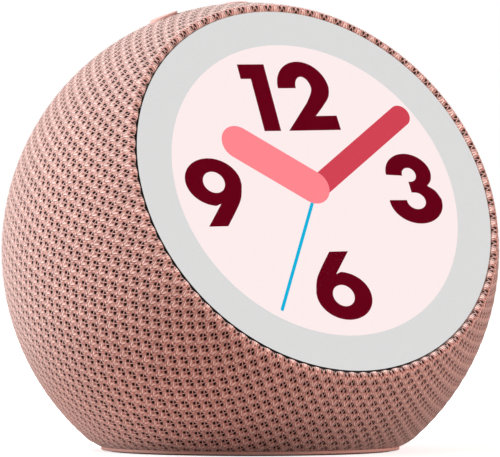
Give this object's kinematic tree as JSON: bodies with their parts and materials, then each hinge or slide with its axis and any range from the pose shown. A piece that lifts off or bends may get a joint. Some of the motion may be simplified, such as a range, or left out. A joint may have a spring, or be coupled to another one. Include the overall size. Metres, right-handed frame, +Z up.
{
  "type": "talking clock",
  "caption": "Ball-shaped talking clock in a knitted cover, with a round screen leaning back in its flat front, press buttons on top and a loudspeaker facing the back.",
  "frame": {"origin": "centre of the round foot, in the plane on which the clock rests", "axes": "+Z up; -Y is the way the screen faces, leaning back; +X to the right of a person who looks at the screen"},
  "size_m": [0.11, 0.1027, 0.0998],
  "materials": {
    "knit": "ribbed knit, matt",
    "shell_plastic": "matt moulded",
    "screw_steel": "zinc plated",
    "pink_plastic": "fine matt",
    "foot_rubber": "matt",
    "clear_glass": "polished, bonded flat",
    "grey_print": "screen-printed ink, even",
    "clear_bond": "clear adhesive",
    "dark_plastic": "matt moulded",
    "black_tape": "adhesive foam",
    "screen": "lit picture",
    "tray_steel": "pressed sheet",
    "board": "solder mask",
    "can_steel": "tinned",
    "spreader": "as cut",
    "connector": "moulded nylon",
    "switch_plastic": "moulded",
    "microphone_can": "plated",
    "basket_steel": "black paint",
    "gasket_foam": "soft foam",
    "magnet_steel": "zinc plated",
    "ferrite": "ground ferrite",
    "copper": "enamelled wire",
    "cone_paper": "pressed pulp",
    "cap_plastic": "moulded",
    "surround_rubber": "satin",
    "spider_cloth": "resin-treated cloth"
  },
  "bodies": {
    "housing": {"knit_cover": "knit", "front_shell": "shell_plastic", "rear_shell": "shell_plastic", "shell_screws": "screw_steel", "base_plate": "pink_plastic", "foot_pad": "foot_rubber", "base_screws": "screw_steel", "cover_glass": "clear_glass", "border_print": "grey_print", "optical_bond": "clear_bond", "screen_carrier": "dark_plastic", "glass_adhesive": "black_tape", "carrier_screws": "screw_steel", "display_panel": "screen", "backlight_tray": "tray_steel", "main_board": "board", "board_screws": "screw_steel", "shield_can": "can_steel", "heat_spreader": "spreader", "board_connectors": "connector", "button_frame": "dark_plastic", "button_board": "board", "button_frame_screws": "screw_steel", "switch_bodies": "switch_plastic", "microphones": "microphone_can", "speaker_basket": "basket_steel", "speaker_gasket": "gasket_foam", "speaker_screws": "screw_steel", "top_plate": "magnet_steel", "speaker_magnet": "ferrite", "pole_yoke": "magnet_steel", "surround": "surround_rubber", "spider": "spider_cloth", "inlet_bush": "dark_plastic", "dc_jack": "dark_plastic", "dc_jack_screws": "screw_steel"},
    "volume_down": {"volume_down_button": "pink_plastic", "volume_down_plunger": "switch_plastic"},
    "talk": {"talk_button": "pink_plastic", "talk_plunger": "switch_plastic"},
    "volume_up": {"volume_up_button": "pink_plastic", "volume_up_plunger": "switch_plastic"},
    "diaphragm": {"speaker_cone": "cone_paper", "dust_cap": "cap_plastic", "voice_coil": "copper"}
  },
  "joints": [
    {"name": "volume_down_press", "type": "slide", "parent": "housing", "child": "volume_down", "axis": [0, 0, -1], "range_m": [0, 0.00035], "stiffness_N_per_m": 2000},
    {"name": "talk_press", "type": "slide", "parent": "housing", "child": "talk", "axis": [0, 0, -1], "range_m": [0, 0.00035], "stiffness_N_per_m": 2000},
    {"name": "volume_up_press", "type": "slide", "parent": "housing", "child": "volume_up", "axis": [0, 0, -1], "range_m": [0, 0.00035], "stiffness_N_per_m": 2000},
    {"name": "diaphragm_stroke", "type": "slide", "parent": "housing", "child": "diaphragm", "axis": [0, 1, 0], "range_m": [-0.0008, 0.0008], "stiffness_N_per_m": 1200, "deforming": ["surround", "spider"]}
  ]
}
